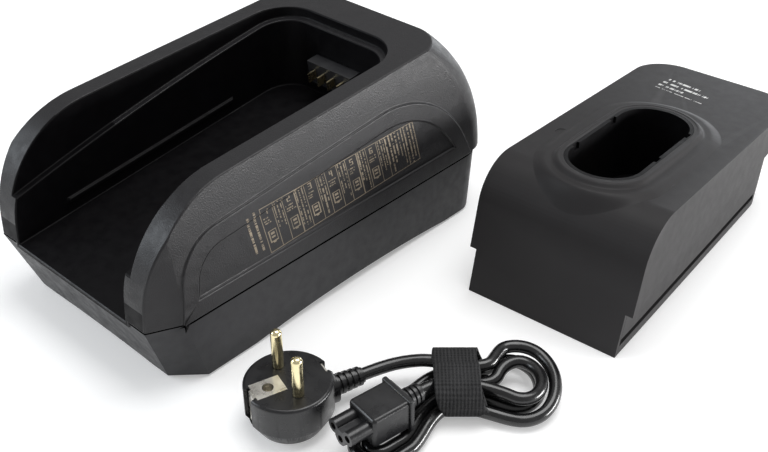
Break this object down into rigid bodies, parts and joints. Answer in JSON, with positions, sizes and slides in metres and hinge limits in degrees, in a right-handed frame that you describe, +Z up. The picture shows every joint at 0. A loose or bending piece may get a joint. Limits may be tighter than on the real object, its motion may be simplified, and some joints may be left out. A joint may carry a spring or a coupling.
{
  "type": "power tool battery charger",
  "caption": "Workshop battery charger set: open charging cradle, clip-in adapter with an oval battery well, and a strapped mains lead with angled plug and three-pole connector.",
  "frame": {"origin": "middle of the cradle's four rubber feet, on the plane they stand on", "axes": "+Z up, the trough's open mouth towards -Y, the printed side towards +X where the adapter and the lead lie"},
  "size_m": [0.2462, 0.3281, 0.0988],
  "materials": {
    "cradle_black": "moulded with a fine grain, satin",
    "tray_black": "moulded with a fine grain, satin",
    "adapter_grey": "smooth satin moulding",
    "well_black": "smooth moulding",
    "foot_rubber": "plain",
    "screw_steel": "zinc plated",
    "board_green": "solder mask",
    "ferrite": "matt ferrite",
    "tape_yellow": "wound tape",
    "copper_wire": "enamelled copper wire",
    "capacitor_can": "sleeved can",
    "film_yellow": "glossy case",
    "chip_black": "matt epoxy",
    "fuse_glass": "clear tube",
    "bare_aluminium": "extruded",
    "contact_brass": "nickel flashed",
    "spring_steel": "wire",
    "lamp_red": "clear tinted resin",
    "lamp_green": "clear tinted resin",
    "socket_black": "moulded",
    "lead_black": "glossy moulded",
    "cable_black": "glossy jacket",
    "plug_nickel": "nickel plated",
    "earth_steel": "plated spring steel",
    "strap_fabric": "woven hook-and-loop"
  },
  "bodies": {
    "cradle": {"upper_housing": "cradle_black", "lower_housing": "tray_black", "rubber_feet": "foot_rubber", "case_screws": "screw_steel", "circuit_board": "board_green", "board_screws": "screw_steel", "mains_inlet": "socket_black", "inlet_pins": "contact_brass", "fuse": "fuse_glass", "emi_capacitor": "film_yellow", "emi_choke": "copper_wire", "bridge_rectifier": "chip_black", "bulk_capacitor": "capacitor_can", "transformer_core": "ferrite", "transformer_winding": "tape_yellow", "heatsink": "bare_aluminium", "power_transistors": "chip_black", "output_capacitors": "capacitor_can", "output_choke": "copper_wire", "controller_chip": "chip_black", "contact_block": "socket_black", "contact_blades": "contact_brass", "lamp_board": "board_green", "red_lamp": "lamp_red", "green_lamp": "lamp_green"},
    "adapter": {"adapter_top": "adapter_grey", "adapter_tub": "adapter_grey", "battery_well": "well_black", "contact_carrier": "well_black", "contact_spring_positive": "spring_steel", "contact_spring_sense": "spring_steel", "contact_spring_negative": "spring_steel", "adapter_board": "board_green", "adapter_socket": "socket_black", "socket_contacts": "contact_brass", "adapter_screws": "screw_steel"},
    "contact_positive": {"battery_contact_positive": "contact_brass"},
    "contact_sense": {"battery_contact_sense": "contact_brass"},
    "contact_negative": {"battery_contact_negative": "contact_brass"},
    "mains_lead": {"plug_body": "lead_black", "plug_pins": "plug_nickel", "plug_earth_socket": "earth_steel", "plug_earth_clips": "earth_steel", "plug_strain_relief": "lead_black", "mains_cable_run": "cable_black", "mains_cable_hank": "cable_black", "mains_cable_tail": "cable_black", "cable_strap": "strap_fabric", "connector_body": "lead_black", "connector_contacts": "contact_brass", "connector_strain_relief": "lead_black"}
  },
  "joints": [
    {"name": "adapter_lift", "type": "slide", "parent": "cradle", "child": "adapter", "axis": [0, 0, 1], "range_m": [0, 0.1]},
    {"name": "mains_lead_lift", "type": "slide", "parent": "cradle", "child": "mains_lead", "axis": [0, 0, 1], "range_m": [0, 0.1]},
    {"name": "contact_positive_press", "type": "slide", "parent": "adapter", "child": "contact_positive", "axis": [0.005, -0.0671, -0.9977], "range_m": [0, 0.002], "stiffness_N_per_m": 400, "springref_m": -0.002, "deforming": ["contact_spring_positive"]},
    {"name": "contact_sense_press", "type": "slide", "parent": "adapter", "child": "contact_sense", "axis": [0.005, -0.0671, -0.9977], "range_m": [0, 0.002], "stiffness_N_per_m": 400, "springref_m": -0.002, "deforming": ["contact_spring_sense"]},
    {"name": "contact_negative_press", "type": "slide", "parent": "adapter", "child": "contact_negative", "axis": [0.005, -0.0671, -0.9977], "range_m": [0, 0.002], "stiffness_N_per_m": 400, "springref_m": -0.002, "deforming": ["contact_spring_negative"]}
  ]
}
